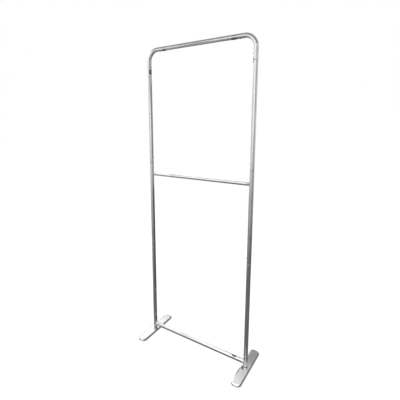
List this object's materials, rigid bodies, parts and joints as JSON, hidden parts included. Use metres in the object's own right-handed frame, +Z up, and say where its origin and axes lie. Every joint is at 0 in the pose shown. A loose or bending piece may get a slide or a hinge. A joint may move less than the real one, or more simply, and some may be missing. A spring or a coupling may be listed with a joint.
{
  "type": "banner display frame",
  "caption": "Free-standing rectangular tube frame for a pull-over fabric banner, with bent top corners, a middle crossbar, snap-button tube joints and flat swivelling feet.",
  "frame": {"origin": "on the floor, midway between the two feet and in the plane of the frame", "axes": "+X along the frame's width to the right, +Y to the back, +Z up"},
  "size_m": [0.934, 0.4, 2.38],
  "materials": {
    "satin_tube": "satin anodised",
    "cast_corner": "satin cast",
    "mill_joiner": "mill finish",
    "button_steel": "polished",
    "spring_steel": "tempered",
    "plug_nylon": "moulded",
    "foot_silver": "silver powder coat",
    "pad_rubber": "matt",
    "zinc_screw": "zinc plated",
    "washer_nylon": "moulded",
    "brass_insert": "turned"
  },
  "bodies": {
    "frame": {"top_bar": "satin_tube", "bottom_bar": "satin_tube", "crossbar_tube": "satin_tube", "elbow_left": "satin_tube", "upper_upright_left": "satin_tube", "middle_upright_left": "satin_tube", "lower_upright_left": "satin_tube", "bottom_corner_left": "cast_corner", "crossbar_plug_left": "plug_nylon", "pin_spring_left": "spring_steel", "joiner_top_left": "mill_joiner", "joiner_elbow_left": "mill_joiner", "joiner_upper_left": "mill_joiner", "joiner_lower_left": "mill_joiner", "joiner_base_left": "mill_joiner", "joiner_bottom_left": "mill_joiner", "elbow_right": "satin_tube", "upper_upright_right": "satin_tube", "middle_upright_right": "satin_tube", "lower_upright_right": "satin_tube", "bottom_corner_right": "cast_corner", "crossbar_plug_right": "plug_nylon", "pin_spring_right": "spring_steel", "joiner_top_right": "mill_joiner", "joiner_elbow_right": "mill_joiner", "joiner_upper_right": "mill_joiner", "joiner_lower_right": "mill_joiner", "joiner_base_right": "mill_joiner", "joiner_bottom_right": "mill_joiner", "snap_spring_strips": "spring_steel", "pin_spring_seats": "plug_nylon", "foot_screws": "zinc_screw", "foot_washers": "washer_nylon", "corner_inserts": "brass_insert"},
    "snap_button_top_left": {"snap_button_top_left": "button_steel"},
    "snap_button_elbow_left": {"snap_button_elbow_left": "button_steel"},
    "snap_button_upper_left": {"snap_button_upper_left": "button_steel"},
    "snap_button_lower_left": {"snap_button_lower_left": "button_steel"},
    "snap_button_base_left": {"snap_button_base_left": "button_steel"},
    "snap_button_bottom_left": {"snap_button_bottom_left": "button_steel"},
    "crossbar_pin_left": {"crossbar_pin_left": "zinc_screw"},
    "foot_left": {"foot_plate_left": "foot_silver", "foot_pads_left": "pad_rubber"},
    "snap_button_top_right": {"snap_button_top_right": "button_steel"},
    "snap_button_elbow_right": {"snap_button_elbow_right": "button_steel"},
    "snap_button_upper_right": {"snap_button_upper_right": "button_steel"},
    "snap_button_lower_right": {"snap_button_lower_right": "button_steel"},
    "snap_button_base_right": {"snap_button_base_right": "button_steel"},
    "snap_button_bottom_right": {"snap_button_bottom_right": "button_steel"},
    "crossbar_pin_right": {"crossbar_pin_right": "zinc_screw"},
    "foot_right": {"foot_plate_right": "foot_silver", "foot_pads_right": "pad_rubber"}
  },
  "joints": [
    {"name": "press_top_left", "type": "slide", "parent": "frame", "child": "snap_button_top_left", "axis": [0, 0, 1], "range_m": [0, 0.0045], "stiffness_N_per_m": 2000, "springref_m": -0.002, "deforming": ["snap_spring_strips"]},
    {"name": "press_elbow_left", "type": "slide", "parent": "frame", "child": "snap_button_elbow_left", "axis": [-1, 0, 0], "range_m": [0, 0.0045], "stiffness_N_per_m": 2000, "springref_m": -0.002, "deforming": ["snap_spring_strips"]},
    {"name": "press_upper_left", "type": "slide", "parent": "frame", "child": "snap_button_upper_left", "axis": [-1, 0, 0], "range_m": [0, 0.0045], "stiffness_N_per_m": 2000, "springref_m": -0.002, "deforming": ["snap_spring_strips"]},
    {"name": "press_lower_left", "type": "slide", "parent": "frame", "child": "snap_button_lower_left", "axis": [-1, 0, 0], "range_m": [0, 0.0045], "stiffness_N_per_m": 2000, "springref_m": -0.002, "deforming": ["snap_spring_strips"]},
    {"name": "press_base_left", "type": "slide", "parent": "frame", "child": "snap_button_base_left", "axis": [-1, 0, 0], "range_m": [0, 0.0045], "stiffness_N_per_m": 2000, "springref_m": -0.002, "deforming": ["snap_spring_strips"]},
    {"name": "press_bottom_left", "type": "slide", "parent": "frame", "child": "snap_button_bottom_left", "axis": [0, 0, -1], "range_m": [0, 0.0045], "stiffness_N_per_m": 2000, "springref_m": -0.002, "deforming": ["snap_spring_strips"]},
    {"name": "retract_pin_left", "type": "slide", "parent": "frame", "child": "crossbar_pin_left", "axis": [1, 0, 0], "range_m": [0, 0.01], "stiffness_N_per_m": 1000, "springref_m": -0.004, "deforming": ["pin_spring_left"]},
    {"name": "swivel_foot_left", "type": "hinge", "parent": "frame", "child": "foot_left", "pos_m": [-0.434, 0, 0.015], "axis": [0, 0, 1], "range_deg": [-90, 90]},
    {"name": "press_top_right", "type": "slide", "parent": "frame", "child": "snap_button_top_right", "axis": [0, 0, 1], "range_m": [0, 0.0045], "stiffness_N_per_m": 2000, "springref_m": -0.002, "deforming": ["snap_spring_strips"]},
    {"name": "press_elbow_right", "type": "slide", "parent": "frame", "child": "snap_button_elbow_right", "axis": [1, 0, 0], "range_m": [0, 0.0045], "stiffness_N_per_m": 2000, "springref_m": -0.002, "deforming": ["snap_spring_strips"]},
    {"name": "press_upper_right", "type": "slide", "parent": "frame", "child": "snap_button_upper_right", "axis": [1, 0, 0], "range_m": [0, 0.0045], "stiffness_N_per_m": 2000, "springref_m": -0.002, "deforming": ["snap_spring_strips"]},
    {"name": "press_lower_right", "type": "slide", "parent": "frame", "child": "snap_button_lower_right", "axis": [1, 0, 0], "range_m": [0, 0.0045], "stiffness_N_per_m": 2000, "springref_m": -0.002, "deforming": ["snap_spring_strips"]},
    {"name": "press_base_right", "type": "slide", "parent": "frame", "child": "snap_button_base_right", "axis": [1, 0, 0], "range_m": [0, 0.0045], "stiffness_N_per_m": 2000, "springref_m": -0.002, "deforming": ["snap_spring_strips"]},
    {"name": "press_bottom_right", "type": "slide", "parent": "frame", "child": "snap_button_bottom_right", "axis": [0, 0, -1], "range_m": [0, 0.0045], "stiffness_N_per_m": 2000, "springref_m": -0.002, "deforming": ["snap_spring_strips"]},
    {"name": "retract_pin_right", "type": "slide", "parent": "frame", "child": "crossbar_pin_right", "axis": [-1, 0, 0], "range_m": [0, 0.01], "stiffness_N_per_m": 1000, "springref_m": -0.004, "deforming": ["pin_spring_right"]},
    {"name": "swivel_foot_right", "type": "hinge", "parent": "frame", "child": "foot_right", "pos_m": [0.434, 0, 0.015], "axis": [0, 0, 1], "range_deg": [-90, 90]}
  ]
}
